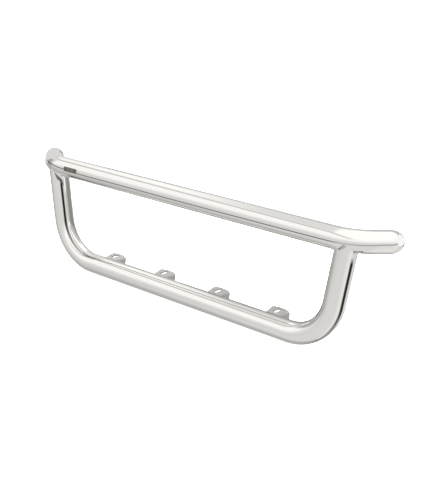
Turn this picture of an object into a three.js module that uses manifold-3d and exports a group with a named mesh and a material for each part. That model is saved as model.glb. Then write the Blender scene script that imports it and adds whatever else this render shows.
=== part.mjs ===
// Front grille guard for a truck: a polished stainless upper tube with swept-back ends, a U-shaped
// lower tube welded under it, and four slotted lamp brackets on the back of the lower tube.
// Millimetres, +Z up. -Y is the front, away from the truck, and left and right are as seen from there.

import * as THREE from 'three';
import { mergeVertices } from 'three/addons/utils/BufferGeometryUtils.js';
import Module from 'manifold-3d';

const wasm = await Module();
wasm.setup();

const { degToRad } = THREE.MathUtils;

// Driving dimensions

const gap = 0.3;
const tube = { radius: 30, wall: 2, sides: 32, bendSteps: 8 };
const upper = { straightHalf: 504, bendRadius: 138, bendAngle: degToRad(42.8), endRun: 32 };
const dome = { length: 36, rings: 6 };
const capWeldWidth = 2.4;
const lower = {
  legSpread: 540,
  legLean: degToRad(8.5),
  drop: 288,
  cornerRadius: 136,
  forwardTilt: degToRad(2.5),
  earTrim: 4,
};
const bead = 3.2;
const drain = { radius: 4, spread: 330 };
const bracket = {
  count: 4,
  pitch: 210,
  top: 29,
  thickness: 4,
  bendRadius: 8,
  frontHalfWidth: 20,
  flare: 0.25,
  reach: 57,
  rearArcRadius: 72,
  flangeRearTop: 50,
  flangeRearFoot: 46,
  flangeFoot: 2,
  flangeToe: -11,
};
const slot = { width: 12, length: 28, centre: 34 };
const boss = { radius: 12, bore: 5.1, reach: 37, upperSpread: 370, lowerSpread: 210, sides: 20 };
const badge = { width: 58, height: 14, corner: 4, thickness: 1, x: -445, turn: degToRad(9) };

// Materials

function steel(name, color, roughness) {
  return new THREE.MeshStandardMaterial({ name, color, roughness, metalness: 1 });
}

const polished = steel('polished_stainless', 0xd4d5d3, 0.08);
const brushed = steel('brushed_stainless', 0x9c9d9a, 0.42);
const weldMetal = steel('weld_stainless', 0xb5b4b0, 0.3);
const darkPlate = steel('dark_plate', 0x4b463f, 0.45);

// Solids

function toSolid(geometry) {
  geometry.deleteAttribute('normal');
  geometry.deleteAttribute('uv');
  const merged = mergeVertices(geometry, 1e-4);
  const corners = merged.index.array;
  const kept = [];
  for (let i = 0; i < corners.length; i += 3) {
    const [a, b, c] = corners.slice(i, i + 3);
    if (a !== b && b !== c && c !== a) kept.push(a, b, c);
  }
  const mesh = new wasm.Mesh({
    numProp: 3,
    vertProperties: merged.attributes.position.array,
    triVerts: new Uint32Array(kept),
  });
  return new wasm.Manifold(mesh);
}

function toGeometry(solid) {
  const mesh = solid.getMesh();
  const geometry = new THREE.BufferGeometry();
  geometry.setAttribute('position', new THREE.BufferAttribute(mesh.vertProperties, 3));
  geometry.setIndex(new THREE.BufferAttribute(mesh.triVerts, 1));
  geometry.computeVertexNormals();
  return geometry;
}

function extrude(shape, depth) {
  return new THREE.ExtrudeGeometry(shape, { depth, bevelEnabled: false, curveSegments: 4 });
}

// Round bar along X, Y or Z, centred on the origin.
function bar(axis, radius, length, sides = tube.sides) {
  const geometry = new THREE.CylinderGeometry(radius, radius, length, sides);
  if (axis === 'x') geometry.rotateZ(Math.PI / 2);
  if (axis === 'z') geometry.rotateX(Math.PI / 2);
  return geometry;
}

// Thin sleeve around a straight tube that lies along X, where weld beads and the badge sit.
function sleeve(thickness, length) {
  const outside = toSolid(bar('x', tube.radius + gap + thickness, length));
  return outside.subtract(toSolid(bar('x', tube.radius + gap, length + 2)));
}

// Tube routes

class Bend extends THREE.Curve {
  constructor(start, heading, inward, radius, angle) {
    super();
    Object.assign(this, { start, heading, inward, radius, angle });
  }

  getPoint(t, target = new THREE.Vector3()) {
    const turned = this.angle * t;
    return target
      .copy(this.start)
      .addScaledVector(this.heading, this.radius * Math.sin(turned))
      .addScaledVector(this.inward, this.radius * (1 - Math.cos(turned)));
  }

  getTangent(t, target = new THREE.Vector3()) {
    const turned = this.angle * t;
    return target
      .copy(this.heading)
      .multiplyScalar(Math.cos(turned))
      .addScaledVector(this.inward, Math.sin(turned));
  }
}

// Centreline made of straight runs and bends, with a station only where the tube needs one.
class TubeRoute extends THREE.Curve {
  constructor(start, heading, inward) {
    super();
    this.end = start.clone();
    this.heading = heading.clone();
    this.inward = inward.clone();
    this.pieces = [];
    this.steps = 0;
  }

  addPiece(curve, steps) {
    this.pieces.push({ curve, steps });
    this.steps += steps;
    this.end = curve.getPoint(1);
    return this;
  }

  run(length) {
    const finish = this.end.clone().addScaledVector(this.heading, length);
    return this.addPiece(new THREE.LineCurve3(this.end, finish), 1);
  }

  bend(radius, angle, steps = tube.bendSteps) {
    const curve = new Bend(this.end, this.heading, this.inward, radius, angle);
    this.inward = this.inward.clone().multiplyScalar(Math.cos(angle));
    this.inward.addScaledVector(this.heading, -Math.sin(angle));
    this.heading = curve.getTangent(1);
    return this.addPiece(curve, steps);
  }

  find(u) {
    let place = u * this.steps;
    let index = 0;
    while (index < this.pieces.length - 1 && place > this.pieces[index].steps) {
      place -= this.pieces[index].steps;
      index += 1;
    }
    const { curve, steps } = this.pieces[index];
    return { curve, t: place / steps };
  }

  getPointAt(u, target) {
    const { curve, t } = this.find(u);
    return curve.getPoint(t, target);
  }

  getTangentAt(u, target) {
    const { curve, t } = this.find(u);
    return curve.getTangent(t, target);
  }
}

const bendSin = Math.sin(upper.bendAngle);
const bendCos = Math.cos(upper.bendAngle);
const upperStart = new THREE.Vector3(
  -upper.straightHalf - upper.bendRadius * bendSin - upper.endRun * bendCos,
  upper.bendRadius * (1 - bendCos) + upper.endRun * bendSin,
  0,
);
const upperRoute = new TubeRoute(
  upperStart,
  new THREE.Vector3(bendCos, -bendSin, 0),
  new THREE.Vector3(bendSin, bendCos, 0),
)
  .run(upper.endRun)
  .bend(upper.bendRadius, upper.bendAngle)
  .run(2 * upper.straightHalf)
  .bend(upper.bendRadius, upper.bendAngle)
  .run(upper.endRun);

// The legs meet the upper tube just inside its bends, where its axis has started to sweep back.
const intoBend = lower.legSpread - upper.straightHalf;
const legTopY = upper.bendRadius - Math.sqrt(upper.bendRadius ** 2 - intoBend ** 2);
const across = new THREE.Vector3(1, 0, 0);
const down = new THREE.Vector3(0, -Math.sin(lower.forwardTilt), -Math.cos(lower.forwardTilt));
const legHeading = down.clone().multiplyScalar(Math.cos(lower.legLean));
legHeading.addScaledVector(across, Math.sin(lower.legLean));
const legInward = across.clone().multiplyScalar(Math.cos(lower.legLean));
legInward.addScaledVector(down, -Math.sin(lower.legLean));
const cornerTurn = Math.PI / 2 - lower.legLean;
const cornerTangent = lower.cornerRadius * Math.tan(cornerTurn / 2);
const legRun = lower.drop / Math.cos(lower.legLean) - cornerTangent;
const legFoot = lower.legSpread - lower.drop * Math.tan(lower.legLean);
const legTop = new THREE.Vector3(-lower.legSpread, legTopY, 0);
const lowerAxis = legTop.clone().addScaledVector(down, lower.drop).setX(0);

function lowerRoute(trim) {
  return new TubeRoute(legTop.clone().addScaledVector(legHeading, trim), legHeading, legInward)
    .run(legRun - trim)
    .bend(lower.cornerRadius, cornerTurn)
    .run(2 * (legFoot - cornerTangent))
    .bend(lower.cornerRadius, cornerTurn)
    .run(legRun - trim);
}

function sweep(route, radius, boreRadius = 0) {
  const section = new THREE.Shape();
  section.absarc(0, 0, radius, 0, 2 * Math.PI);
  if (boreRadius > 0) {
    const bore = new THREE.Path();
    bore.absarc(0, 0, boreRadius, 0, 2 * Math.PI);
    section.holes.push(bore);
  }
  const options = { steps: route.steps, extrudePath: route, curveSegments: tube.sides / 2 };
  return new THREE.ExtrudeGeometry(section, options);
}

// Tubes

function makeUpperTube() {
  return sweep(upperRoute, tube.radius, tube.radius - tube.wall);
}

// Both leg tops are coped around the upper tube, and two drain holes open the underside.
function makeLowerTube() {
  let solid = toSolid(sweep(lowerRoute(lower.earTrim), tube.radius, tube.radius - tube.wall));
  solid = solid.subtract(toSolid(sweep(upperRoute, tube.radius + gap)));
  for (const side of [-1, 1]) {
    const hole = bar('z', drain.radius, tube.radius, 16);
    hole.translate(side * drain.spread, lowerAxis.y, lowerAxis.z - tube.radius);
    solid = solid.subtract(toSolid(hole));
  }
  return toGeometry(solid);
}

function makeJointWeld(side) {
  const outerLeg = toSolid(sweep(lowerRoute(0), tube.radius + gap + bead));
  const legSpace = toSolid(sweep(lowerRoute(0), tube.radius + gap));
  const outerUpper = toSolid(sweep(upperRoute, tube.radius + gap + bead));
  const upperSpace = toSolid(sweep(upperRoute, tube.radius + gap));
  const half = new THREE.BoxGeometry(lower.legSpread, 4 * tube.radius, lower.drop);
  half.translate(side * lower.legSpread, 0, 0);
  const ring = outerLeg.intersect(outerUpper).intersect(toSolid(half));
  return toGeometry(ring.subtract(legSpace).subtract(upperSpace));
}

// End caps: a pressed hollow dome, and the ring of weld that joins it to the tube. Both are turned
// about +Y with their open face on the origin.

function makeDome() {
  const shell = (radius, length) => {
    const profile = [new THREE.Vector2(0, 0)];
    for (let i = 0; i < dome.rings; i += 1) {
      const angle = (i / dome.rings) * (Math.PI / 2);
      profile.push(new THREE.Vector2(radius * Math.cos(angle), length * Math.sin(angle)));
    }
    profile.push(new THREE.Vector2(0, length));
    return toSolid(new THREE.LatheGeometry(profile, tube.sides));
  };
  const outside = shell(tube.radius, dome.length);
  return toGeometry(outside.subtract(shell(tube.radius - tube.wall, dome.length - tube.wall)));
}

function makeCapWeld() {
  const inside = tube.radius - tube.wall;
  const profile = [
    new THREE.Vector2(inside, 0),
    new THREE.Vector2(tube.radius, 0),
    new THREE.Vector2(tube.radius, capWeldWidth),
    new THREE.Vector2(inside, capWeldWidth),
    new THREE.Vector2(inside, 0),
  ];
  return new THREE.LatheGeometry(profile, tube.sides);
}

// Lamp bracket: a sheet folded down at both sides, wider at the back, with its front edges coped
// around the lower tube. Its origin is on the tube's axis.

function flareSides(geometry) {
  const points = geometry.attributes.position;
  for (let i = 0; i < points.count; i += 1) {
    const x = points.getX(i);
    points.setX(i, x + Math.sign(x) * bracket.flare * points.getY(i));
  }
  return geometry;
}

function foldedSection() {
  const { top, thickness, bendRadius, frontHalfWidth: half, flangeToe: toe } = bracket;
  const bendX = half - bendRadius;
  const bendZ = top - bendRadius;
  const innerRadius = bendRadius - thickness;
  const shape = new THREE.Shape();
  shape.moveTo(half, toe);
  shape.lineTo(half, bendZ);
  shape.absarc(bendX, bendZ, bendRadius, 0, Math.PI / 2);
  shape.absarc(-bendX, bendZ, bendRadius, Math.PI / 2, Math.PI);
  shape.lineTo(-half, toe);
  shape.lineTo(thickness - half, toe);
  shape.lineTo(thickness - half, bendZ);
  shape.absarc(-bendX, bendZ, innerRadius, Math.PI, Math.PI / 2, true);
  shape.absarc(bendX, bendZ, innerRadius, Math.PI / 2, 0, true);
  shape.lineTo(half - thickness, toe);
  return shape;
}

function bracketSideOutline() {
  const above = bracket.top + 1;
  const past = bracket.reach + 1;
  const shape = new THREE.Shape();
  shape.moveTo(0, above);
  shape.lineTo(past, above);
  shape.lineTo(past, bracket.top - bracket.thickness);
  shape.lineTo(bracket.flangeRearTop, bracket.top - bracket.thickness);
  shape.lineTo(bracket.flangeRearFoot, bracket.flangeFoot);
  shape.lineTo(tube.radius - 2, bracket.flangeToe);
  shape.lineTo(0, bracket.flangeToe);
  return shape;
}

function makeBracket() {
  const folded = extrude(foldedSection(), bracket.reach);
  folded.rotateX(Math.PI / 2);
  folded.translate(0, bracket.reach, 0);
  const width = 4 * bracket.frontHalfWidth;
  const sideOutline = extrude(bracketSideOutline(), width);
  sideOutline.rotateX(Math.PI / 2);
  sideOutline.rotateZ(Math.PI / 2);
  sideOutline.translate(-width / 2, 0, 0);
  const rearArc = bar('z', bracket.rearArcRadius, 4 * bracket.top, 72);
  rearArc.translate(0, bracket.reach - bracket.rearArcRadius, 0);
  const slotShape = new THREE.Shape();
  const slotStraight = (slot.length - slot.width) / 2;
  slotShape.absarc(0, slot.centre + slotStraight, slot.width / 2, 0, Math.PI);
  slotShape.absarc(0, slot.centre - slotStraight, slot.width / 2, Math.PI, 2 * Math.PI);
  const slotCut = extrude(slotShape, 2 * bracket.top);
  let solid = toSolid(flareSides(folded)).intersect(toSolid(sideOutline));
  solid = solid.intersect(toSolid(rearArc)).subtract(toSolid(slotCut));
  return toGeometry(solid.subtract(toSolid(bar('x', tube.radius + gap, 2 * width))));
}

// Bead along the outer side of one flange, where it meets the back of the tube.
function makeBracketWeld(side) {
  const height = bracket.top - bracket.bendRadius - bracket.flangeToe;
  const slab = new THREE.BoxGeometry(bead, 2 * tube.radius, height);
  const middle = bracket.frontHalfWidth + gap + bead / 2;
  slab.translate(side * middle, tube.radius, bracket.flangeToe + height / 2);
  return toGeometry(toSolid(flareSides(slab)).intersect(sleeve(bead, 4 * bracket.frontHalfWidth)));
}

// Threaded boss welded to the back of a tube. Its origin is on the tube's axis.

function makeBoss() {
  const round = bar('y', boss.radius, boss.reach, boss.sides);
  round.translate(0, boss.reach / 2, 0);
  const bore = bar('y', boss.bore, 3 * boss.reach, boss.sides);
  const solid = toSolid(round).subtract(toSolid(bore));
  return toGeometry(solid.subtract(toSolid(bar('x', tube.radius + gap, 4 * boss.radius))));
}

function makeBossWeld() {
  const outer = bar('y', boss.radius + gap + bead, boss.reach, boss.sides);
  outer.translate(0, boss.reach / 2, 0);
  const inner = bar('y', boss.radius + gap, 3 * boss.reach, boss.sides);
  const ring = toSolid(outer).subtract(toSolid(inner));
  return toGeometry(ring.intersect(sleeve(bead, 4 * boss.radius)));
}

// Plain rounded badge, curved to the front of the upper tube.
function makeBadge() {
  const x = badge.width / 2;
  const z = badge.height / 2;
  const r = badge.corner;
  const shape = new THREE.Shape();
  shape.absarc(x - r, z - r, r, 0, Math.PI / 2);
  shape.absarc(r - x, z - r, r, Math.PI / 2, Math.PI);
  shape.absarc(r - x, r - z, r, Math.PI, 1.5 * Math.PI);
  shape.absarc(x - r, r - z, r, 1.5 * Math.PI, 2 * Math.PI);
  const blank = extrude(shape, 2 * tube.radius);
  blank.rotateX(Math.PI / 2);
  return toGeometry(toSolid(blank).intersect(sleeve(badge.thickness, 2 * badge.width)));
}

// Assembly

const guard = new THREE.Group();

function addPart(parent, name, geometry, material) {
  const mesh = new THREE.Mesh(geometry, material);
  mesh.name = name;
  parent.add(mesh);
  return mesh;
}

addPart(guard, 'upper_tube', makeUpperTube(), polished);
addPart(guard, 'lower_tube', makeLowerTube(), polished);

const sides = [['left', -1], ['right', 1]];
for (const [sideName, side] of sides) {
  addPart(guard, `joint_weld_${sideName}`, makeJointWeld(side), weldMetal);
  const end = new THREE.Group();
  const outward = upperRoute.heading.clone().multiply(new THREE.Vector3(side, 1, 1));
  end.position.copy(upperRoute.end).multiply(new THREE.Vector3(side, 1, 1));
  end.quaternion.setFromUnitVectors(new THREE.Vector3(0, 1, 0), outward);
  addPart(end, `cap_weld_${sideName}`, makeCapWeld(), weldMetal).position.y = gap;
  addPart(end, `end_cap_${sideName}`, makeDome(), polished).position.y = capWeldWidth + 2 * gap;
  guard.add(end);
}

for (let i = 0; i < bracket.count; i += 1) {
  const station = new THREE.Group();
  station.position.copy(lowerAxis).setX((i - (bracket.count - 1) / 2) * bracket.pitch);
  addPart(station, `lamp_bracket_${i + 1}`, makeBracket(), brushed);
  for (const [sideName, side] of sides) {
    addPart(station, `bracket_weld_${i + 1}_${sideName}`, makeBracketWeld(side), weldMetal);
  }
  guard.add(station);
}

const bossRows = [
  { row: 'upper', spread: boss.upperSpread, y: 0, z: 0 },
  { row: 'lower', spread: boss.lowerSpread, y: lowerAxis.y, z: lowerAxis.z },
];
for (const { row, spread, y, z } of bossRows) {
  for (const [sideName, side] of sides) {
    const station = new THREE.Group();
    station.position.set(side * spread, y, z);
    addPart(station, `boss_${row}_${sideName}`, makeBoss(), brushed);
    addPart(station, `boss_weld_${row}_${sideName}`, makeBossWeld(), weldMetal);
    guard.add(station);
  }
}

const badgeMesh = addPart(guard, 'badge', makeBadge(), darkPlate);
badgeMesh.position.x = badge.x;
badgeMesh.rotation.x = -badge.turn;

// The guard's origin is the middle of its bounding box.
const middle = new THREE.Box3().setFromObject(guard, true).getCenter(new THREE.Vector3());
guard.position.sub(middle);

export default guard;
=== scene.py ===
# Looks of the front grille guard: smooth polished tubes, brushed lamp brackets, weld beads and a
# white studio, all in metres in the CAD model's own frame.

import math

import bmesh
import bpy
import numpy as np
from mathutils import Matrix, Vector


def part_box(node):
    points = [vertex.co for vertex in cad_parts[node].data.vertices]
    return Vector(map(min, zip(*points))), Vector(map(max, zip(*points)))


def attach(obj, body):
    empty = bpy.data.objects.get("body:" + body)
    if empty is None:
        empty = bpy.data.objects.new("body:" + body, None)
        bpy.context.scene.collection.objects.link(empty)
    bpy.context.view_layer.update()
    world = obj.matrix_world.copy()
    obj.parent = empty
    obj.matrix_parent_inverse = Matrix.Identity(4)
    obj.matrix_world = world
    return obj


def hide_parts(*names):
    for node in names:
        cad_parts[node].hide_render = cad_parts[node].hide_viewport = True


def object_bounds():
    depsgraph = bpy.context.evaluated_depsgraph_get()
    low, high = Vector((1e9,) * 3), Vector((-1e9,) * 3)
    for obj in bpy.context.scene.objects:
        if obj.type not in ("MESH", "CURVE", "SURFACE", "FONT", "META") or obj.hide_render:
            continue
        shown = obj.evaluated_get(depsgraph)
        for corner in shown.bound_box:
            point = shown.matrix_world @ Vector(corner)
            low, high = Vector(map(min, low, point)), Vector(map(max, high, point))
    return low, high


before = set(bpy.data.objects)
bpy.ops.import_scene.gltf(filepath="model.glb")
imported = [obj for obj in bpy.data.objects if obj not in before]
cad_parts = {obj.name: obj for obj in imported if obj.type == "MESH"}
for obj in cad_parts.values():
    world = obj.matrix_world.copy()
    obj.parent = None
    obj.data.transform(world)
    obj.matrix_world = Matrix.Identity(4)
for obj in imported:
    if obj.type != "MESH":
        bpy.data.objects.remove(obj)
cad_low, cad_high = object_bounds()

MM = 0.001
SIDES = (("left", -1), ("right", 1))


# ---------------------------------------------------------------- sizes, repeated from the CAD
# The tube and its domes are a hair smaller here, so that they stay inside the CAD's facets.

TUBE_R = 29.95 * MM
WALL = 2 * MM
SEAM = 0.15 * MM
STRAIGHT_HALF = 504 * MM
BEND_R = 138 * MM
BEND_ANGLE = math.radians(42.8)
END_RUN = 32 * MM
CAP_WELD = 3 * MM
DOME = 35.5 * MM

LEG_SPREAD = 540 * MM
LEG_LEAN = math.radians(8.5)
DROP = 288 * MM
CORNER_R = 136 * MM
TILT = math.radians(2.5)
EAR_TRIM = 4 * MM
DRAIN_R = 4 * MM
DRAIN_SPREAD = 330 * MM

SHEET = 4 * MM
FOLD_R = 8 * MM
FRONT_HALF = 20 * MM
FLARE = 0.25
REACH = 57 * MM
REAR_ARC = 72 * MM
FLANGE_REAR_TOP = 50 * MM
FLANGE_REAR_FOOT = 46 * MM
FLANGE_FOOT = 2 * MM
FLANGE_TOE = -11 * MM
SLOT_WIDTH = 12 * MM
SLOT_LENGTH = 28 * MM
SLOT_CENTRE = 34 * MM

BEAD = 3.2 * MM

BOSS_R = 12 * MM
BORE_R = 5.1 * MM
BOSS_REACH = 37 * MM
THREAD_PITCH = 1.75 * MM
THREAD_DEPTH = 0.9 * MM


# ---------------------------------------------------------------- fineness of the meshes

TUBE_SIDES = 128
DOME_RINGS = 28
COPE_RINGS = 12
BEAD_STEPS = 8
BRACKET_ROWS = 20
BOSS_SIDES = 96
THREAD_RINGS = 32


# ---------------------------------------------------------------- places, from the frame

upper_low, upper_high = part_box("upper_tube")
lower_low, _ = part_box("lower_tube")
_, bracket_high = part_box("lamp_bracket_1")
UPPER_AXIS = Vector((0, upper_low.y + TUBE_R, (upper_low.z + upper_high.z) / 2))
LOWER_AXIS = Vector((0, lower_low.y + TUBE_R, UPPER_AXIS.z - DROP * math.cos(TILT)))
BRACKET_TOP = bracket_high.z - LOWER_AXIS.z


def centre(node):
    low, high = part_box(node)
    return (low + high) / 2


# ---------------------------------------------------------------- mesh helpers

def make_piece(name, verts, faces, material, nodes=(), attribute=None, sharp=40):
    mesh = bpy.data.meshes.new(name)
    mesh.from_pydata([tuple(v) for v in verts], [], faces)
    mesh.validate()
    mesh.shade_smooth()
    if attribute is not None:
        layer = mesh.attributes.new("route", "FLOAT_VECTOR", "POINT")
        layer.data.foreach_set("vector", np.asarray(attribute, np.float32).ravel())
    tidy = bmesh.new()
    tidy.from_mesh(mesh)
    bmesh.ops.recalc_face_normals(tidy, faces=tidy.faces)
    tidy.to_mesh(mesh)
    tidy.free()
    mesh.set_sharp_from_angle(angle=math.radians(sharp))
    mesh.materials.append(material)
    piece = bpy.data.objects.new(name, mesh)
    bpy.context.scene.collection.objects.link(piece)
    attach(piece, "root")
    if nodes:
        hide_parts(*nodes)
    return piece


def grid_faces(rows, cols, wrap_rows=False, wrap_cols=False, start=0):
    """Quads of a grid of vertices stored row by row."""
    faces = []
    for i in range(rows if wrap_rows else rows - 1):
        below = (i + 1) % rows
        for j in range(cols if wrap_cols else cols - 1):
            beside = (j + 1) % cols
            ring = (i * cols + j, i * cols + beside, below * cols + beside, below * cols + j)
            faces.append(tuple(start + k for k in ring))
    return faces


def ring_angles(count):
    return np.linspace(0, 2 * math.pi, count, endpoint=False)


class Route:
    """Stations along a bent tube's centreline: point, heading, the way it bends, and length."""

    def __init__(self, start, heading, inward):
        self.point = Vector(start)
        self.heading = Vector(heading).normalized()
        self.inward = Vector(inward).normalized()
        self.side = self.heading.cross(self.inward)
        self.length = 0.0
        self.stations = []
        self.mark()

    def mark(self):
        self.stations.append(
            (self.point.copy(), self.heading.copy(), self.inward.copy(), self.length)
        )

    def run(self, length, step=0.02):
        count = max(1, round(length / step))
        for _ in range(count):
            self.point += self.heading * (length / count)
            self.length += length / count
            self.mark()
        return self

    def bend(self, radius, angle, step=math.radians(1.5)):
        count = max(1, round(angle / step))
        middle = self.point + self.inward * radius
        turn = angle / count
        for _ in range(count):
            heading = self.heading * math.cos(turn) + self.inward * math.sin(turn)
            self.inward = self.inward * math.cos(turn) - self.heading * math.sin(turn)
            self.heading = heading
            self.point = middle - self.inward * radius
            self.length += radius * turn
            self.mark()
        return self


def sweep_rings(stations, radius, side, angles):
    """Rings of points round each station, with how far along and around each one lies."""
    points, marks = [], []
    for point, _, inward, length in stations:
        for angle in angles:
            out = inward * math.cos(angle) + side * math.sin(angle)
            points.append(point + out * radius)
            marks.append((length, angle * radius, 0))
    return points, marks


# ---------------------------------------------------------------- the two routes

def upper_route(end_run=END_RUN):
    x = STRAIGHT_HALF + BEND_R * math.sin(BEND_ANGLE) + end_run * math.cos(BEND_ANGLE)
    y = BEND_R * (1 - math.cos(BEND_ANGLE)) + end_run * math.sin(BEND_ANGLE)
    heading = (math.cos(BEND_ANGLE), -math.sin(BEND_ANGLE), 0)
    inward = (math.sin(BEND_ANGLE), math.cos(BEND_ANGLE), 0)
    route = Route(UPPER_AXIS + Vector((-x, y, 0)), heading, inward)
    route.run(end_run).bend(BEND_R, BEND_ANGLE).run(2 * STRAIGHT_HALF)
    return route.bend(BEND_R, BEND_ANGLE).run(end_run)


INTO_BEND = LEG_SPREAD - STRAIGHT_HALF
LEG_TOP_Y = BEND_R - math.sqrt(BEND_R**2 - INTO_BEND**2)
DOWN = Vector((0, -math.sin(TILT), -math.cos(TILT)))
ACROSS = Vector((1, 0, 0))
CORNER_TURN = math.pi / 2 - LEG_LEAN
CORNER_TANGENT = CORNER_R * math.tan(CORNER_TURN / 2)
LEG_RUN = DROP / math.cos(LEG_LEAN) - CORNER_TANGENT
COPE_ZONE = 60 * MM


def leg_frame(side):
    """Top point, heading down the leg, the way it bends, and the normal of the U's plane."""
    top = UPPER_AXIS + Vector((side * LEG_SPREAD, LEG_TOP_Y, 0))
    heading = DOWN * math.cos(LEG_LEAN) - ACROSS * side * math.sin(LEG_LEAN)
    inward = -ACROSS * side * math.cos(LEG_LEAN) - DOWN * math.sin(LEG_LEAN)
    return top, heading, inward, heading.cross(inward)


def lower_route():
    top, heading, inward, _ = leg_frame(-1)
    straight = 2 * (LEG_SPREAD - DROP * math.tan(LEG_LEAN) - CORNER_TANGENT)
    route = Route(top + heading * COPE_ZONE, heading, inward)
    route.run(LEG_RUN - COPE_ZONE).bend(CORNER_R, CORNER_TURN).run(straight)
    return route.bend(CORNER_R, CORNER_TURN).run(LEG_RUN - COPE_ZONE)


def nearest_on_upper(point):
    """The point of the upper tube's centreline that lies nearest to a point."""
    x = abs(point.x)
    y = point.y - UPPER_AXIS.y
    if x <= STRAIGHT_HALF:
        return Vector((point.x, UPPER_AXIS.y, UPPER_AXIS.z))
    angle = math.atan2(x - STRAIGHT_HALF, BEND_R - y)
    angle = min(max(angle, 0), BEND_ANGLE)
    on_x = STRAIGHT_HALF + BEND_R * math.sin(angle)
    on_y = BEND_R * (1 - math.cos(angle))
    return Vector((math.copysign(on_x, point.x), UPPER_AXIS.y + on_y, UPPER_AXIS.z))


def cope_depth(top, heading, out, radius, clear):
    """How far down a leg a line on its surface meets the upper tube."""
    near, far = EAR_TRIM, COPE_ZONE
    for _ in range(24):
        middle = (near + far) / 2
        point = top + heading * middle + out * radius
        if (point - nearest_on_upper(point)).length > TUBE_R + clear:
            far = middle
        else:
            near = middle
    return near


# ---------------------------------------------------------------- tubes

def make_upper_tube(material):
    route = upper_route()
    angles = ring_angles(TUBE_SIDES)
    count = len(route.stations)
    outer, marks = sweep_rings(route.stations, TUBE_R, route.side, angles)
    inner, inner_marks = sweep_rings(route.stations, TUBE_R - WALL, route.side, angles)
    faces = closed_shell_faces(count, TUBE_SIDES)
    nodes = ("upper_tube",)
    verts = outer + inner
    return make_piece(
        "upper_tube_skin", verts, faces, material, nodes, marks + inner_marks
    )


def closed_shell_faces(rows, cols):
    """Outer wall, inner wall and the two end faces of an open tube."""
    offset = rows * cols
    faces = grid_faces(rows, cols, wrap_cols=True)
    faces += grid_faces(rows, cols, wrap_cols=True, start=offset)
    for row in (0, rows - 1):
        for j in range(cols):
            k = (j + 1) % cols
            base = row * cols
            faces.append((base + j, base + k, offset + base + k, offset + base + j))
    return faces


def cope_rings(side, radius, angles):
    """Rings of a leg's top, from the coped edge down to where whole rings begin."""
    top, heading, inward, across = leg_frame(side)
    edge = []
    for angle in angles:
        out = inward * math.cos(angle) + across * math.sin(angle)
        edge.append((out, cope_depth(top, heading, out, TUBE_R, SEAM)))
    rings = []
    for k in range(COPE_RINGS):
        blend = (k / COPE_RINGS) ** 1.5
        ring = []
        for out, depth in edge:
            reach = depth + (COPE_ZONE - depth) * blend
            ring.append(top + heading * reach + out * radius)
        rings.append(ring)
    return rings


def lower_tube_wall(route, radius, angles):
    """All rings of the U's wall, from one coped edge to the other."""
    rings, ring_marks = sweep_rings(route.stations, radius, route.side, angles)
    left = cope_rings(-1, radius, angles)
    # The route runs up the right leg, so its rings come last first and turn the other way.
    right = cope_rings(1, radius, [(-angle) % (2 * math.pi) for angle in angles])[::-1]
    spacing = COPE_ZONE / COPE_RINGS
    points, marks = [], []
    for k, ring in enumerate(left):
        points += ring
        marks += [(k * spacing - COPE_ZONE, a * radius, 0) for a in angles]
    points += rings
    marks += ring_marks
    for k, ring in enumerate(right):
        points += ring
        marks += [(route.length + k * spacing, a * radius, 0) for a in angles]
    return points, marks, len(points) // len(angles)


def make_lower_tube(material):
    route = lower_route()
    angles = ring_angles(TUBE_SIDES)
    outer, marks, count = lower_tube_wall(route, TUBE_R, angles)
    inner, inner_marks, _ = lower_tube_wall(route, TUBE_R - WALL, angles)
    faces = closed_shell_faces(count, TUBE_SIDES)
    piece = make_piece(
        "lower_tube_skin", outer + inner, faces, material, ("lower_tube",),
        marks + inner_marks,
    )
    bottom = LOWER_AXIS.z - TUBE_R
    for _, side in SIDES:
        ring = [(math.cos(a) * DRAIN_R, math.sin(a) * DRAIN_R) for a in ring_angles(48)]
        hole = [(side * DRAIN_SPREAD + x, LOWER_AXIS.y + y) for x, y in ring]
        cut_out(piece, upright_prism(hole, bottom - 2 * WALL, bottom + 3 * WALL))
    piece.data.set_sharp_from_angle(angle=math.radians(40))


# ---------------------------------------------------------------- end caps

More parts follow.
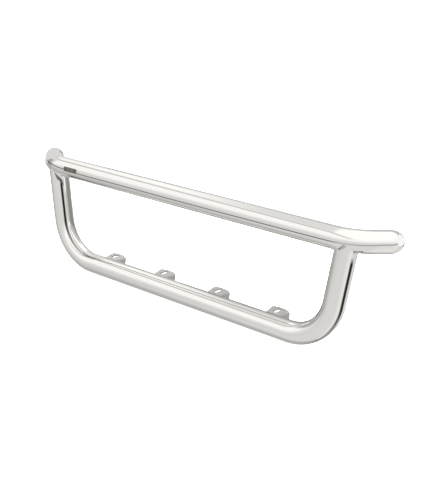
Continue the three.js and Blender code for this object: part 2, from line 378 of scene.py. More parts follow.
def make_end(side_name, side, material):
    """The hollow dome at one end of the upper tube, and the ring of weld that holds it."""
    heading = Vector((side * math.cos(BEND_ANGLE), math.sin(BEND_ANGLE), 0))
    x = STRAIGHT_HALF + BEND_R * math.sin(BEND_ANGLE) + END_RUN * math.cos(BEND_ANGLE)
    y = BEND_R * (1 - math.cos(BEND_ANGLE)) + END_RUN * math.sin(BEND_ANGLE)
    mouth = UPPER_AXIS + Vector((side * x, y, 0))
    up = Vector((0, 0, 1))
    across = heading.cross(up)
    angles = ring_angles(TUBE_SIDES)

    def ring(reach, radius):
        out = [across * math.cos(a) + up * math.sin(a) for a in angles]
        return [mouth + heading * reach + o * radius for o in out]

    walls = []
    for length, radius in ((DOME, TUBE_R), (DOME - WALL, TUBE_R - WALL)):
        wall = []
        for i in range(DOME_RINGS):
            turn = (i / DOME_RINGS) * math.pi / 2
            wall.append((CAP_WELD + length * math.sin(turn), radius * math.cos(turn)))
        walls.append(wall)
    # The outer wall runs towards its pole and the inner wall runs back from its own.
    loop = walls[0] + walls[1][::-1]
    verts, marks = [], []
    for reach, radius in loop:
        verts += ring(reach, radius)
        marks += [(reach, a * TUBE_R, 0) for a in angles]
    rows = len(loop)
    faces = []
    for i in range(rows):
        if i == DOME_RINGS - 1:
            continue
        below = (i + 1) % rows
        for j in range(TUBE_SIDES):
            k = (j + 1) % TUBE_SIDES
            base, under = i * TUBE_SIDES, below * TUBE_SIDES
            faces.append((base + j, base + k, under + k, under + j))
    poles = ((DOME_RINGS - 1, CAP_WELD + DOME), (DOME_RINGS, CAP_WELD + DOME - WALL))
    for row, reach in poles:
        pole = len(verts)
        verts.append(mouth + heading * reach)
        marks.append((reach, 0, 0))
        for j in range(TUBE_SIDES):
            base = row * TUBE_SIDES
            faces.append((base + j, base + (j + 1) % TUBE_SIDES, pole))
    make_piece(
        f"end_cap_{side_name}_skin", verts, faces, material,
        (f"end_cap_{side_name}",), marks,
    )

    # The weld is ground flush and polished with the tube.
    section = [(0, 0), (0, WALL), (CAP_WELD, WALL), (CAP_WELD, 0)]
    verts = []
    for reach, depth in section:
        verts += ring(reach, TUBE_R - depth)
    faces = grid_faces(len(section), TUBE_SIDES, wrap_rows=True, wrap_cols=True)
    marks = [(r, a * TUBE_R, 0) for r, _ in section for a in angles]
    make_piece(
        f"cap_weld_{side_name}_bead", verts, faces, material,
        (f"cap_weld_{side_name}",), marks,
    )


# ---------------------------------------------------------------- weld beads

def ripple(length, pitch, depth):
    """Scale of a bead's size along its length: the overlapping scales of a hand-laid weld."""
    place = (length / pitch) % 1
    return 1 - depth * place


def bead_section(foot, corner, toe, bulge):
    """Points from the foot, over the bead's face, to the toe. bulge 0 is hollow and 1 is full."""
    middle = (foot + toe) / 2
    control = corner.lerp(middle, bulge * 2)
    points = []
    for i in range(BEAD_STEPS + 1):
        t = i / BEAD_STEPS
        points.append(foot.lerp(control, t).lerp(control.lerp(toe, t), t))
    return points


def make_bead(name, sections, closed, material, node):
    """Solid bead through a row of sections, each a list of points with its buried corner last."""
    cols = len(sections[0])
    verts = [p for s in sections for p in s]
    faces = grid_faces(len(sections), cols, wrap_rows=closed, wrap_cols=True)
    if not closed:
        faces.append(tuple(range(cols)))
        last = (len(sections) - 1) * cols
        faces.append(tuple(last + j for j in range(cols)))
    marks, length = [], 0
    for i, section in enumerate(sections):
        if i:
            length += (section[-1] - sections[i - 1][-1]).length
        marks += [(length, j * MM, 0) for j in range(cols)]
    return make_piece(name, verts, faces, material, (node,), marks, sharp=60)


def make_joint_weld(side_name, side, material):
    top, heading, inward, across = leg_frame(side)
    sections = []
    count = 720
    for angle in ring_angles(count):
        out = inward * math.cos(angle) + across * math.sin(angle)
        size = BEAD * ripple(angle * TUBE_R * 1.3, 1.8 * MM, 0.05)
        depth = cope_depth(top, heading, out, TUBE_R, 0)
        corner = top + heading * depth + out * TUBE_R
        foot = top + heading * (depth + size) + out * TUBE_R
        toe_depth = cope_depth(top, heading, out, TUBE_R + size, 0)
        toe = top + heading * toe_depth + out * (TUBE_R + size)
        axis = nearest_on_upper(toe)
        toe = axis + (toe - axis).normalized() * TUBE_R
        buried = corner - out * 0.4 * MM
        sections.append(bead_section(foot, corner, toe, 0.12) + [buried])
    node = f"joint_weld_{side_name}"
    return make_bead(f"{node}_bead", sections, True, material, node)


# ---------------------------------------------------------------- lamp brackets

def tube_back(z, clear=SEAM):
    """Distance from the tube's axis to its back surface, at a height above the axis."""
    reach = TUBE_R + clear
    return math.sqrt(max(reach * reach - z * z, 0))


def fold_section(inset):
    """Points across the folded sheet, from the left flange's foot to the right one's."""
    top = BRACKET_TOP
    half = FRONT_HALF - inset
    radius = FOLD_R - inset
    bend_x, bend_z = FRONT_HALF - FOLD_R, top - FOLD_R
    right = [(half, FLANGE_TOE + (FLANGE_FOOT - FLANGE_TOE) * i / 6) for i in range(6)]
    right += [(half, FLANGE_FOOT + (bend_z - FLANGE_FOOT) * i / 6) for i in range(6)]
    for i in range(13):
        turn = (i / 12) * math.pi / 2
        right.append((bend_x + radius * math.cos(turn), bend_z + radius * math.sin(turn)))
    right += [(bend_x * (1 - i / 6), top - inset) for i in range(1, 6)]
    left = [(-x, z) for x, z in right]
    return left + [(0, top - inset)] + right[::-1]


def flare_share(x):
    """How much of the flare a line takes: none at the middle, all of it on the flanges."""
    return min(1, abs(x) / (FRONT_HALF - FOLD_R))


def rear_arc(x):
    """Where the round rear edge ends the sheet, for a line that starts at x at the front."""
    y = REACH
    for _ in range(12):
        wide = abs(x) + FLARE * y * flare_share(x)
        y = REACH - REAR_ARC + math.sqrt(REAR_ARC**2 - wide**2)
    return y


def bracket_rear(x, z):
    """Where the sheet ends at the back, for a line that starts at x, z at the front."""
    if abs(z - BRACKET_TOP) < 1e-6:
        return rear_arc(x)
    if z >= FLANGE_FOOT:
        rise = BRACKET_TOP - SHEET - FLANGE_FOOT
        slope = (FLANGE_REAR_TOP - FLANGE_REAR_FOOT) / rise
        return min(rear_arc(x), FLANGE_REAR_FOOT + slope * (z - FLANGE_FOOT))
    toe_y = TUBE_R - 2 * MM
    return toe_y + (z - FLANGE_TOE) * (FLANGE_REAR_FOOT - toe_y) / (FLANGE_FOOT - FLANGE_TOE)


def bracket_wall(inset, origin):
    """One face of the sheet, as lines that run back from the tube."""
    points = []
    section = fold_section(inset)
    outer = fold_section(0)
    for (x, z), (outer_x, outer_z) in zip(section, outer):
        front = tube_back(z)
        rear = max(bracket_rear(outer_x, outer_z), front + 0.05 * MM)
        for i in range(BRACKET_ROWS):
            y = front + (rear - front) * i / (BRACKET_ROWS - 1)
            shift = math.copysign(FLARE * y * flare_share(outer_x), outer_x) if outer_x else 0
            points.append(origin + Vector((x + shift, y, z)))
    return points, len(section)


def upright_prism(outline, low, high):
    """Closed prism between two heights, to cut with."""
    count = len(outline)
    verts = [(x, y, z) for z in (low, high) for x, y in outline]
    faces = grid_faces(2, count, wrap_cols=True)
    faces += [tuple(range(count))[::-1], tuple(range(count, 2 * count))]
    mesh = bpy.data.meshes.new("cutter")
    mesh.from_pydata(verts, [], faces)
    cutter = bpy.data.objects.new("cutter", mesh)
    bpy.context.scene.collection.objects.link(cutter)
    return cutter


def slot_outline(origin):
    outline = []
    straight = (SLOT_LENGTH - SLOT_WIDTH) / 2
    for end, first in ((1, 0), (-1, math.pi)):
        for i in range(25):
            turn = first + math.pi * i / 24
            x = SLOT_WIDTH / 2 * math.cos(turn)
            y = SLOT_CENTRE + end * straight + SLOT_WIDTH / 2 * math.sin(turn)
            outline.append((origin.x + x, origin.y + y))
    return outline


def apply_modifiers(piece):
    """Bakes a piece's modifiers into its mesh."""
    graph = bpy.context.evaluated_depsgraph_get()
    graph.update()
    mesh = bpy.data.meshes.new_from_object(piece.evaluated_get(graph))
    piece.modifiers.clear()
    piece.data = mesh


def cut_out(piece, cutter):
    cut = piece.modifiers.new("cut", "BOOLEAN")
    cut.operation = "DIFFERENCE"
    cut.object = cutter
    cut.solver = "EXACT"
    apply_modifiers(piece)
    bpy.data.objects.remove(cutter)


def make_bracket(index, material):
    """One lamp bracket, with its slot cut through and its edges broken."""
    node = f"lamp_bracket_{index}"
    origin = Vector((centre(node).x, LOWER_AXIS.y, LOWER_AXIS.z))
    outer, rows = bracket_wall(0, origin)
    inner, _ = bracket_wall(SHEET, origin)
    cols = BRACKET_ROWS
    offset = rows * cols
    faces = grid_faces(rows, cols) + grid_faces(rows, cols, start=offset)
    for i in range(rows - 1):
        for col in (0, cols - 1):
            a, b = i * cols + col, (i + 1) * cols + col
            faces.append((a, b, offset + b, offset + a))
    for j in range(cols - 1):
        for row in (0, rows - 1):
            a, b = row * cols + j, row * cols + j + 1
            faces.append((a, b, offset + b, offset + a))
    piece = make_piece(
        f"{node}_sheet", outer + inner, faces, material, (node,), sharp=35
    )
    top = origin.z + BRACKET_TOP
    cut_out(piece, upright_prism(slot_outline(origin), top - 3 * SHEET, top + 2 * SHEET))
    soften = piece.modifiers.new("broken_edges", "BEVEL")
    soften.width = 0.45 * MM
    soften.segments = 3
    soften.limit_method = "ANGLE"
    soften.angle_limit = math.radians(40)
    soften.use_clamp_overlap = True
    apply_modifiers(piece)
    piece.data.shade_smooth()
    piece.data.set_sharp_from_angle(angle=math.radians(35))
    return piece


def make_bracket_weld(index, side_name, side, material):
    node = f"bracket_weld_{index}_{side_name}"
    station = centre(f"lamp_bracket_{index}").x
    origin = Vector((station, LOWER_AXIS.y, LOWER_AXIS.z))
    low, high = FLANGE_TOE + 1.5 * MM, BRACKET_TOP - FOLD_R - 1 * MM
    count = 160
    sections, length = [], 0
    for i in range(count + 1):
        z = low + (high - low) * i / count
        y = tube_back(z, 0)
        x = FRONT_HALF + FLARE * y
        length += (high - low) / count * 1.3
        taper = min(1, i / 6, (count - i) / 6) ** 0.5
        size = max(BEAD * taper * ripple(length, 1.6 * MM, 0.1), 0.1 * MM)
        corner = origin + Vector((side * x, y, z))
        foot = corner + Vector((side * FLARE * size, size, 0))
        toe = corner + Vector((side * size, 0, 0))
        buried = corner + Vector((-side * 0.3 * MM, -0.3 * MM, 0))
        sections.append(bead_section(foot, corner, toe, 0.62) + [buried])
    return make_bead(f"{node}_bead", sections, False, material, node)


# ---------------------------------------------------------------- truck-side bosses

def boss_ring(origin, radius, reach):
    """Ring about +Y. reach is a length, or None for the ring on the tube's surface."""
    ring = []
    for angle in ring_angles(BOSS_SIDES):
        x, z = radius * math.cos(angle), radius * math.sin(angle)
        y = tube_back(z) if reach is None else reach
        ring.append(origin + Vector((x, y, z)))
    return ring


def make_boss(node, axis, material):
    origin = Vector((centre(node).x, axis.y, axis.z))
    edge = 1 * MM
    rings = [
        boss_ring(origin, BOSS_R, None),
        boss_ring(origin, BOSS_R, BOSS_REACH - edge),
        boss_ring(origin, BOSS_R - edge, BOSS_REACH),
        boss_ring(origin, BORE_R + THREAD_DEPTH, BOSS_REACH),
    ]
    bore_top = BOSS_REACH - THREAD_DEPTH
    bore_end = TUBE_R + 0.5 * MM
    for i in range(THREAD_RINGS + 1):
        reach = bore_top + (bore_end - bore_top) * i / THREAD_RINGS
        ring = []
        for angle in ring_angles(BOSS_SIDES):
            place = (reach / THREAD_PITCH + angle / (2 * math.pi)) % 1
            radius = BORE_R + THREAD_DEPTH * abs(2 * place - 1)
            ring.append(origin + Vector((radius * math.cos(angle), reach, radius * math.sin(angle))))
        rings.append(ring)
    rings.append(boss_ring(origin, BORE_R, None))
    verts = [p for ring in rings for p in ring]
    faces = grid_faces(len(rings), BOSS_SIDES, wrap_rows=True, wrap_cols=True)
    return make_piece(
        f"{node}_turned", verts, faces, material, (node,), sharp=30
    )


def make_boss_weld(node, boss_node, axis, material):
    origin = Vector((centre(boss_node).x, axis.y, axis.z))
    sections = []
    count = 480
    for angle in ring_angles(count):
        size = BEAD * ripple(angle * BOSS_R * 1.2, 1.6 * MM, 0.1)
        out = Vector((math.cos(angle), 0, math.sin(angle)))

        def on_tube(radius):
            return Vector((0, tube_back(radius * out.z, 0), 0)) + out * radius

        corner = origin + on_tube(BOSS_R)
        foot = corner + Vector((0, size, 0))
        toe = origin + on_tube(BOSS_R + size)
        buried = corner - out * 0.3 * MM - Vector((0, 0.3 * MM, 0))
        sections.append(bead_section(foot, corner, toe, 0.62) + [buried])
    return make_bead(f"{node}_bead", sections, True, material, node)


# ---------------------------------------------------------------- badge

def rounded_outline(half_width, half_height, corner, per_corner=10):
    """Closed outline of a rectangle with round corners, always with the same count of points."""
    corner = max(min(corner, half_height, half_width), 0.02 * MM)
    points = []
    for quarter, (sx, sz) in enumerate(((1, 1), (-1, 1), (-1, -1), (1, -1))):
        for i in range(per_corner + 1):
            turn = (quarter + i / per_corner) * math.pi / 2
            x = sx * (half_width - corner) + corner * math.cos(turn)
            z = sz * (half_height - corner) + corner * math.sin(turn)
            points.append((x, z))
    return points


def on_front(x, arc, height, middle_x, turn):
    """A point on the upper tube's front, arc above its level line, height over its surface."""
    angle = turn + arc / TUBE_R
    reach = TUBE_R + height
    return UPPER_AXIS + Vector((middle_x + x, -reach * math.cos(angle), reach * math.sin(angle)))


def make_badge(plate, enamel):
    low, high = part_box("badge")
    middle_x = (low.x + high.x) / 2
    turn = math.asin(((low.z + high.z) / 2 - UPPER_AXIS.z) / TUBE_R)
    half_width = (high.x - low.x) / 2
    half_height = (high.z - low.z) / 2 * 1.02
    corner = 4 * MM
    # (inset from the edge, height over the tube) from the back edge to the middle of the face
    steps = [(0.3, 0.05), (0, 0.25), (0, 0.9), (0.15, 1.1), (0.9, 1.1), (1.15, 0.75)]
    steps += [(1.15 + 0.7 * i, 0.75) for i in range(1, 9)]
    verts = []
    for inset, height in steps:
        inset, height = inset * MM, height * MM
        outline = rounded_outline(half_width - inset, half_height - inset, corner - inset)
        verts += [on_front(x, z, height, middle_x, turn) for x, z in outline]
    count = len(rounded_outline(half_width, half_height, corner))
    faces = grid_faces(len(steps), count, wrap_cols=True)
    last = (len(steps) - 1) * count
    faces += [tuple(range(count)), tuple(last + j for j in range(count))]
    piece = make_piece("badge_plate", verts, faces, plate, ("badge",), sharp=30)
    piece.data.materials.append(enamel)
    for face in piece.data.polygons:
        if min(face.vertices) >= 5 * count:
            face.material_index = 1
    for k in (-1, 0, 1):
        make_badge_bar(k, plate, middle_x, turn)


def make_badge_bar(k, material, middle_x, turn):
    """One of three plain raised bars across the badge."""
    length, width, rise = 30 * MM, 1.5 * MM, 0.35 * MM
    stations, across = 40, 9
    verts = []
    for i in range(stations + 1):
        x = length * (i / stations - 0.5)
        room = min(1, (length / 2 - abs(x)) / width)
        half = width / 2 * math.sqrt(max(1 - (1 - room) ** 2, 0.01))
        for j in range(across):
            turn_j = math.pi * j / (across - 1)
            arc = k * 3.3 * MM - half * math.cos(turn_j)
            height = 0.75 * MM + rise * math.sin(turn_j)
            verts.append(on_front(x, arc, height, middle_x, turn))
    faces = grid_faces(stations + 1, across, wrap_cols=True)
    last = stations * across
    faces += [tuple(range(across)), tuple(last + j for j in range(across))]
    make_piece(f"badge_bar_{k + 2}", verts, faces, material, sharp=50)


# ---------------------------------------------------------------- materials

class Nodes:
    """Short names for the shader nodes that the materials and the studio are made of."""

    def __init__(self, tree):
        self.tree = tree
        tree.nodes.clear()

    def add(self, kind, **settings):
        node = self.tree.nodes.new(kind)
        for key, value in settings.items():
            setattr(node, key, value)
        return node

    def join(self, out, socket):
        if isinstance(out, (int, float)):
            socket.default_value = out
        else:
            self.tree.links.new(out, socket)

    def math(self, operation, a, b=0.0):
        node = self.add("ShaderNodeMath", operation=operation)
        self.join(a, node.inputs[0])
        self.join(b, node.inputs[1])
        return node.outputs[0]

    def ramp(self, value, low, high, to_low=0.0, to_high=1.0, kind="SMOOTHSTEP"):
        node = self.add("ShaderNodeMapRange", interpolation_type=kind)
        self.join(value, node.inputs["Value"])
        node.inputs["From Min"].default_value = low
        node.inputs["From Max"].default_value = high
        self.join(to_low, node.inputs["To Min"])
        self.join(to_high, node.inputs["To Max"])
        return node.outputs["Result"]

    def between(self, value, low, high, soft):
        """1 inside low to high, falling to 0 over soft on each side."""
        rise = self.ramp(value, low - soft, low)
        fall = self.ramp(value, high, high + soft, 1, 0)
        return self.math("MULTIPLY", rise, fall)

    def mix(self, factor, a, b):
        span = self.math("SUBTRACT", b, a)
        return self.math("ADD", a, self.math("MULTIPLY", factor, span))

    def noise(self, vector, scale, detail):
        node = self.add("ShaderNodeTexNoise")
        self.tree.links.new(vector, node.inputs["Vector"])
        node.inputs["Scale"].default_value = scale
        node.inputs["Detail"].default_value = detail
        return node.outputs["Fac"]

    def stretch(self, vector, scale):
        node = self.add("ShaderNodeMapping")
        self.tree.links.new(vector, node.inputs["Vector"])
        node.inputs["Scale"].default_value = scale
        return node.outputs["Vector"]

    def tint(self, factor, dark, light):
        node = self.add("ShaderNodeMix", data_type="RGBA")
        self.tree.links.new(factor, node.inputs["Factor"])
        node.inputs["A"].default_value = (*dark, 1)
        node.inputs["B"].default_value = (*light, 1)
        return node.outputs["Result"]

    def bump(self, height, distance, strength=1.0):
        node = self.add("ShaderNodeBump")
        node.inputs["Strength"].default_value = strength
        node.inputs["Distance"].default_value = distance
        self.tree.links.new(height, node.inputs["Height"])
        return node.outputs["Normal"]


def metal(name, build, metallic=1.0):
    """A metal whose colour, roughness and surface come from the nodes that build() makes."""
    material = bpy.data.materials.new(name)
    material.use_nodes = True
    nodes = Nodes(material.node_tree)
    shader = nodes.add("ShaderNodeBsdfPrincipled")
    output = nodes.add("ShaderNodeOutputMaterial")
    nodes.join(shader.outputs["BSDF"], output.inputs["Surface"])
    shader.inputs["Metallic"].default_value = metallic
    colour, roughness, normal = build(nodes)
    nodes.join(colour, shader.inputs["Base Color"])
    nodes.join(roughness, shader.inputs["Roughness"])
    nodes.join(normal, shader.inputs["Normal"])
    return material


def route_vector(nodes):
    """Metres along a tube or bead, and round it."""
    return nodes.add("ShaderNodeAttribute", attribute_name="route").outputs["Vector"]


def object_vector(nodes):
    return nodes.add("ShaderNodeTexCoord").outputs["Object"]


def polished_steel():
    def build(nodes):
        route = route_vector(nodes)
        place = object_vector(nodes)
        marks = nodes.noise(nodes.stretch(route, (1, 0.06, 1)), 2200, 2)
        smudge = nodes.noise(place, 9, 4)
        colour = nodes.tint(smudge, (0.925, 0.905, 0.87), (0.965, 0.95, 0.92))
        rough = nodes.ramp(smudge, 0.3, 0.75, 0.035, 0.075)
        rough = nodes.math("ADD", rough, nodes.ramp(marks, 0.55, 0.8, 0, 0.02))
        normal = nodes.bump(marks, 0.000002, 0.5)
        return colour, rough, normal

    return metal("polished_stainless", build)


def brushed_steel():
    def build(nodes):
        place = object_vector(nodes)
        grain = nodes.noise(nodes.stretch(place, (0.05, 1, 1)), 2600, 3)
        cloud = nodes.noise(place, 35, 4)
        colour = nodes.tint(cloud, (0.42, 0.412, 0.395), (0.56, 0.552, 0.535))
        rough = nodes.ramp(grain, 0.3, 0.7, 0.32, 0.5)
        normal = nodes.bump(grain, 0.00004, 0.5)
        return colour, rough, normal

    return metal("brushed_stainless", build, metallic=0.65)


def weld_steel():
    def build(nodes):
        place = object_vector(nodes)
        heat = nodes.noise(place, 60, 3)
        colour = nodes.tint(heat, (0.70, 0.67, 0.62), (0.82, 0.82, 0.82))
        rough = nodes.ramp(heat, 0.3, 0.7, 0.14, 0.3)
        normal = nodes.bump(nodes.noise(place, 900, 2), 0.00003, 0.4)
        return colour, rough, normal

    return metal("weld_stainless", build)


def badge_enamel():
    def build(nodes):
        place = object_vector(nodes)
        cloud = nodes.noise(place, 220, 3)
        colour = nodes.tint(cloud, (0.035, 0.03, 0.026), (0.07, 0.062, 0.055))
        rough = nodes.ramp(cloud, 0.3, 0.7, 0.3, 0.45)
        return colour, rough, nodes.bump(cloud, 0.00001, 0.4)

    return metal("badge_enamel", build, metallic=0.0)


def badge_steel():
    def build(nodes):
        place = object_vector(nodes)
        grain = nodes.noise(nodes.stretch(place, (0.1, 1, 1)), 3000, 2)
        colour = nodes.tint(grain, (0.30, 0.27, 0.24), (0.42, 0.39, 0.35))
        rough = nodes.ramp(grain, 0.3, 0.7, 0.28, 0.42)
        return colour, rough, nodes.bump(grain, 0.00002, 0.4)

    return metal("badge_steel", build)


# ---------------------------------------------------------------- studio

def grey(level):
    """Radiance that a display shows as this grey level, 0 to 255."""
    s = level / 255
    return s / 12.92 if s <= 0.04045 else ((s + 0.055) / 1.055) ** 2.4


def studio_sky():
    """A white studio all round: a bright ceiling, a paler front wall, and a darker back wall."""
    world = bpy.data.worlds.new("studio")
    bpy.context.scene.world = world
    world.use_nodes = True
    nodes = Nodes(world.node_tree)
    way = nodes.add("ShaderNodeTexCoord").outputs["Generated"]
    split = nodes.add("ShaderNodeSeparateXYZ")
    nodes.join(way, split.inputs[0])
    x, y, z = split.outputs
    degree = 180 / math.pi
    height = nodes.math("MULTIPLY", nodes.math("ARCSINE", z), degree)
    turn = nodes.math("ARCTAN2", x, nodes.math("MULTIPLY", y, -1))
    turn = nodes.math("MULTIPLY", turn, degree)

    def levels(value, stops):
        """Grey by height: linear between (height, level) stops."""
        total = grey(stops[0][1])
        for (h0, g0), (h1, g1) in zip(stops, stops[1:]):
            change = nodes.ramp(value, h0, h1, 0, grey(g1) - grey(g0), "LINEAR")
            total = nodes.math("ADD", total, change)
        return total

    # The table is greyer to the left, where less light falls on it.
    table = nodes.ramp(turn, -72, -42, grey(174), grey(219), "LINEAR")
    table = nodes.math("ADD", table, nodes.ramp(turn, 40, 75, 0, grey(234) - grey(219)))
    wall = levels(height, [(-16, 203), (-7, 219), (0, 222), (8, 231), (14, 246), (20, 256)])
    front = nodes.mix(nodes.ramp(height, -22, -8), table, wall)

    # Behind the guard the room is grey, and bright again higher up.
    dim = nodes.ramp(turn, -130, -85, grey(184), grey(166), "LINEAR")
    dim = nodes.mix(nodes.ramp(height, -22, -14), grey(196), dim)
    dim = nodes.mix(nodes.ramp(height, -36, -26), grey(180), dim)
    behind_left = nodes.mix(nodes.ramp(height, 14, 44), dim, grey(252))
    behind_right = levels(height, [(-32, 222), (-22, 200), (14, 200), (44, 256)])
    light = nodes.mix(nodes.ramp(turn, -64, -80), front, behind_left)
    light = nodes.mix(nodes.ramp(turn, 92, 102), light, behind_right)

    # The ceiling light ends on the left in a thin grey gap that runs away from the camera.
    aside = nodes.math("ADD", nodes.math("MULTIPLY", x, -0.755), nodes.math("MULTIPLY", y, -0.655))
    rise = nodes.math("MULTIPLY", nodes.math("ARCTAN2", z, aside), degree)
    ceiling = nodes.ramp(rise, 49, 62, grey(248), grey(264))
    over = nodes.math("MULTIPLY", nodes.ramp(rise, 44, 46), nodes.ramp(height, 20, 46))
    light = nodes.mix(over, light, ceiling)
    patch = nodes.math("MULTIPLY", nodes.between(x, -0.56, -0.50, 0.12), nodes.ramp(rise, 48, 56))
    light = nodes.mix(nodes.math("MULTIPLY", patch, nodes.ramp(height, 25, 38)), light, grey(226))
    gap = nodes.math("MULTIPLY", nodes.between(rise, 45.4, 49.2, 2.2), nodes.ramp(height, 26, 34))
    light = nodes.mix(gap, light, grey(194))
    background = nodes.add("ShaderNodeBackground")
    nodes.join(light, background.inputs["Color"])
    background.inputs["Strength"].default_value = 1.0
    output = nodes.add("ShaderNodeOutputWorld")
    nodes.join(background.outputs[0], output.inputs["Surface"])


def emission(name, level):
    """A glowing surface: level is a grey, or a function that makes one from nodes."""
    material = bpy.data.materials.new(name)
    material.use_nodes = True
    nodes = Nodes(material.node_tree)
    glow = nodes.add("ShaderNodeEmission")
    if callable(level):
        nodes.join(level(nodes), glow.inputs["Color"])
    else:
        glow.inputs["Color"].default_value = (level, level, level, 1)
    output = nodes.add("ShaderNodeOutputMaterial")
    nodes.join(glow.outputs[0], output.inputs["Surface"])
    return material


def stage_mesh(name, verts, faces, material):
    mesh = bpy.data.meshes.new(name)
    mesh.from_pydata([tuple(v) for v in verts], [], faces)
    mesh.materials.append(material)
    item = bpy.data.objects.new(name, mesh)
    bpy.context.scene.collection.objects.link(item)
    return item


def stage_plane(name, corners, material):
    return stage_mesh(name, corners, [tuple(range(len(corners)))], material)


STUDIO = 40


def make_floor(level):
    material = bpy.data.materials.new("studio_floor")
    material.use_nodes = True
    shader = material.node_tree.nodes["Principled BSDF"]
    shader.inputs["Base Color"].default_value = (0.9, 0.9, 0.9, 1)
    shader.inputs["Roughness"].default_value = 0.9
    shader.inputs["Specular IOR Level"].default_value = 0
    shader.inputs["Emission Color"].default_value = (1, 1, 1, 1)
    shader.inputs["Emission Strength"].default_value = 0.75
    outline = [(-STUDIO, -STUDIO), (STUDIO, -STUDIO), (STUDIO, STUDIO), (-STUDIO, STUDIO)]
    floor = stage_plane("studio_floor", [(x, y, level) for x, y in outline], material)
    floor.visible_glossy = False

    # White walls, which a low camera sees past the floor's far edge and nothing else does
    verts = [(x, y, z) for z in (level, level + STUDIO) for x, y in outline]
    faces = grid_faces(2, len(outline), wrap_cols=True)
    walls = stage_mesh("studio_walls", verts, faces, emission("studio_white", grey(255)))
    walls.visible_glossy = False
    walls.visible_diffuse = False
    walls.visible_shadow = False


def glossy_only(piece):
    """Shows a studio card in the guard's reflections and nowhere else."""
    piece.visible_camera = False
    piece.visible_diffuse = False
    piece.visible_shadow = False


def make_back_card():
    """Grey card behind the guard, seen in the left leg and along the tubes' top edges."""
    y = 0.5
    outline = [(-0.45, -0.3), (0.1, -0.2), (1.6, -0.1), (1.6, 0.9), (0.1, 0.7), (-0.45, 0.5)]
    corners = [(x, y, z) for x, z in outline]

    def brightness(nodes):
        place = nodes.add("ShaderNodeNewGeometry").outputs["Position"]
        split = nodes.add("ShaderNodeSeparateXYZ")
        nodes.join(place, split.inputs[0])
        low = nodes.ramp(split.outputs[0], 0.6, 1.5, grey(141), grey(190), "LINEAR")
        return nodes.mix(nodes.ramp(split.outputs[2], 0.0, 0.25), low, grey(200))

    glossy_only(stage_plane("back_card", corners, emission("back_grey", brightness)))


def make_bracket_card():
    """Dark card low behind the brackets, which shades their sides."""
    y, low, high = 0.20, -0.27, -0.15
    corners = [(-0.42, y, low), (0.52, y, low), (0.52, y, high), (-0.42, y, high)]
    glossy_only(stage_plane("bracket_card", corners, emission("bracket_card_grey", grey(105))))


def make_end_cards():
    """Pale cards behind the tube's two ends, which keep them bright."""
    ends = (("right", (0.86, 0.02), (0.68, 0.36), 0.06, 0.36, 256),
            ("right_far", (0.68, 0.36), (0.30, 0.40), -0.10, 0.40, 190),
            ("left", (-1.00, -0.05), (-1.00, 0.60), 0.06, 0.50, 220))
    for name, first, last, low, high, level in ends:
        corners = [(*first, low), (*last, low), (*last, high), (*first, high)]
        white = emission(f"end_card_white_{name}", grey(level))
        glossy_only(stage_plane(f"end_card_{name}", corners, white))


def make_scrim(name, stations):
    """Ribbon that darkens what lies behind it. Each station is the middle, the vector to one
    edge, and the share of light that gets through the middle."""
    shares = np.linspace(-1, 1, 17)
    verts, keep = [], []
    for middle, to_edge, least in stations:
        for share in shares:
            verts.append(tuple(middle + to_edge * share))
            keep.append(1 - (1 - least) * (1 - abs(share) ** 3))
    mesh = bpy.data.meshes.new(name)
    mesh.from_pydata(verts, [], grid_faces(len(stations), len(shares)))
    layer = mesh.attributes.new("keep", "FLOAT", "POINT")
    layer.data.foreach_set("value", keep)
    material = bpy.data.materials.new(f"{name}_shade")
    material.use_nodes = True
    nodes = Nodes(material.node_tree)
    pane = nodes.add("ShaderNodeBsdfTransparent")
    keep_out = nodes.add("ShaderNodeAttribute", attribute_name="keep").outputs["Fac"]
    nodes.join(keep_out, pane.inputs["Color"])
    output = nodes.add("ShaderNodeOutputMaterial")
    nodes.join(pane.outputs[0], output.inputs["Surface"])
    mesh.materials.append(material)
    scrim = bpy.data.objects.new(name, mesh)
    bpy.context.scene.collection.objects.link(scrim)
    glossy_only(scrim)


def make_tube_scrim():
    """Dark ribbon beside the upper tube's front, which draws the line along its underside."""
    # Where along the tube, how far the ribbon's middle is below the axis, and light let through
    plan = [(-0.66, -0.012, 1.0), (-0.62, -0.010, 0.15), (-0.56, -0.004, 0.15)]
    plan += [(-0.50, 0.036, 0.2), (0, 0.0445, 0.16), (0.40, 0.0410, 0.12), (0.46, 0.0370, 0.2)]
    plan += [(0.52, 0.031, 0.6), (0.56, 0.028, 0.6), (0.62, 0.012, 0.5), (0.69, 0.010, 0.5)]
    plan += [(0.72, 0.010, 1.0)]
    where, drop, least = zip(*plan)
    away = 80 * MM
    half_width = 10.5 * MM
    past_end = 130 * MM
    stations = []
    for point, _, inward, _ in upper_route(END_RUN + past_end).stations:
        if not where[0] < point.x < where[-1]:
            continue
        below = float(np.interp(point.x, where, drop))
        light = float(np.interp(point.x, where, least))
        tip = math.asin(below / away)
        front = -inward
        up = Vector((0, 0, 1))
        middle = point + front * (TUBE_R + away * math.cos(tip)) - up * below
        to_edge = (front * math.sin(tip) + up * math.cos(tip)) * half_width
        stations.append((middle, to_edge, light))
    make_scrim("tube_scrim", stations)


# Share of the way down the leg and round its corner, where on the tube the line is seen and
# which way the ribbon lies from there (both in degrees from the front), and light let through
LEFT_LINE = [
    (0, 55, 60, 1.0), (0.05, 55, 60, 0.0), (0.45, 55, 60, 0.0), (0.6, 52, 62, 0.25),
    (1, 49, 73, 0.8),
]
RIGHT_LINE = [
    (0, 72, 112, 1.0), (0.05, 72, 112, 0.0), (0.45, 72, 112, 0.0), (0.65, 74, 114, 0.35),
    (1, 76, 118, 1.0),
]


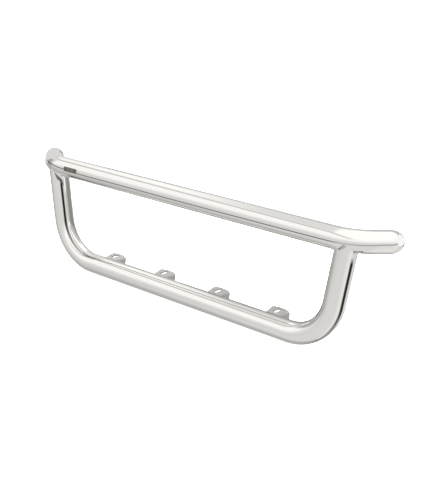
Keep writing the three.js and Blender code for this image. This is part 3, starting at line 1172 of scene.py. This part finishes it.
def make_leg_scrim(side_name, side, plan, half_width):
    """Black ribbon beside a leg, which draws the black line along it. plan is a line above."""
    where, places, turns, least = zip(*plan)
    top, heading, inward, across = leg_frame(side)
    front = across * -side
    start = 44 * MM
    away = 25 * MM
    route = Route(top + heading * start, heading, inward)
    route.run(LEG_RUN - start).bend(CORNER_R, CORNER_TURN)
    stations = []
    for point, _, in_way, length in route.stations:
        share = length / route.length
        place = math.radians(float(np.interp(share, where, places)))
        turn = math.radians(float(np.interp(share, where, turns)))
        light = float(np.interp(share, where, least))
        beside = in_way * -side
        normal = front * math.cos(place) + beside * math.sin(place)
        way = front * math.cos(turn) + beside * math.sin(turn)
        to_edge = (beside * math.cos(turn) - front * math.sin(turn)) * half_width
        stations.append((point + normal * TUBE_R + way * away, to_edge, light))
    make_scrim(f"leg_scrim_{side_name}", stations)


def make_key_light():
    """A large soft light over the guard, for the floor and the soft shading."""
    light = bpy.data.lights.new("soft_key", "AREA")
    light.shape = "RECTANGLE"
    light.size, light.size_y = 3.0, 2.0
    light.energy = 110
    key = bpy.data.objects.new("soft_key", light)
    bpy.context.scene.collection.objects.link(key)
    key.location = (-0.8, -0.4, 2.2)
    key.rotation_euler = (Vector((0, 0, 0)) - key.location).to_track_quat("-Z", "Y").to_euler()
    key.visible_glossy = False


CAMERA_AT = (1.6923, -1.8611, 0.8956)
FOCAL_LENGTH = 69.754


def make_camera():
    """The photograph's view: from the front right, a little above."""
    azimuth = math.radians(40.888)
    elevation = math.radians(19.427)
    roll = math.radians(0.30)
    back = Vector((
        math.sin(azimuth) * math.cos(elevation),
        -math.cos(azimuth) * math.cos(elevation),
        math.sin(elevation),
    ))
    level_right = Vector((math.cos(azimuth), math.sin(azimuth), 0))
    level_up = back.cross(level_right)
    right = level_right * math.cos(roll) + level_up * math.sin(roll)
    up = level_up * math.cos(roll) - level_right * math.sin(roll)
    data = bpy.data.cameras.new("camera")
    data.sensor_width = 36
    data.sensor_fit = "AUTO"
    data.lens = FOCAL_LENGTH
    data.clip_start, data.clip_end = 0.05, 200
    camera = bpy.data.objects.new("camera", data)
    bpy.context.scene.collection.objects.link(camera)
    turn = Matrix((right, up, back)).transposed().to_4x4()
    camera.matrix_world = Matrix.Translation(CAMERA_AT) @ turn
    bpy.context.scene.camera = camera


# ---------------------------------------------------------------- build

def build():
    polished = polished_steel()
    brushed = brushed_steel()
    weld = weld_steel()
    make_upper_tube(polished)
    make_lower_tube(polished)
    for side_name, side in SIDES:
        make_end(side_name, side, polished)
        make_joint_weld(side_name, side, polished)
    for index in range(1, 5):
        make_bracket(index, brushed)
        for side_name, side in SIDES:
            make_bracket_weld(index, side_name, side, weld)
    for row, axis in (("upper", UPPER_AXIS), ("lower", LOWER_AXIS)):
        for side_name, _ in SIDES:
            make_boss(f"boss_{row}_{side_name}", axis, brushed)
            make_boss_weld(f"boss_weld_{row}_{side_name}", f"boss_{row}_{side_name}", axis, weld)
    make_badge(badge_steel(), badge_enamel())


make_camera()
build()
studio_sky()
make_floor(cad_low.z - 2 * MM)
make_back_card()
make_tube_scrim()
make_bracket_card()
make_end_cards()
make_leg_scrim("left", -1, LEFT_LINE, 13 * MM)
make_leg_scrim("right", 1, RIGHT_LINE, 14.5 * MM)
make_key_light()
bpy.context.scene.view_settings.view_transform = "Standard"
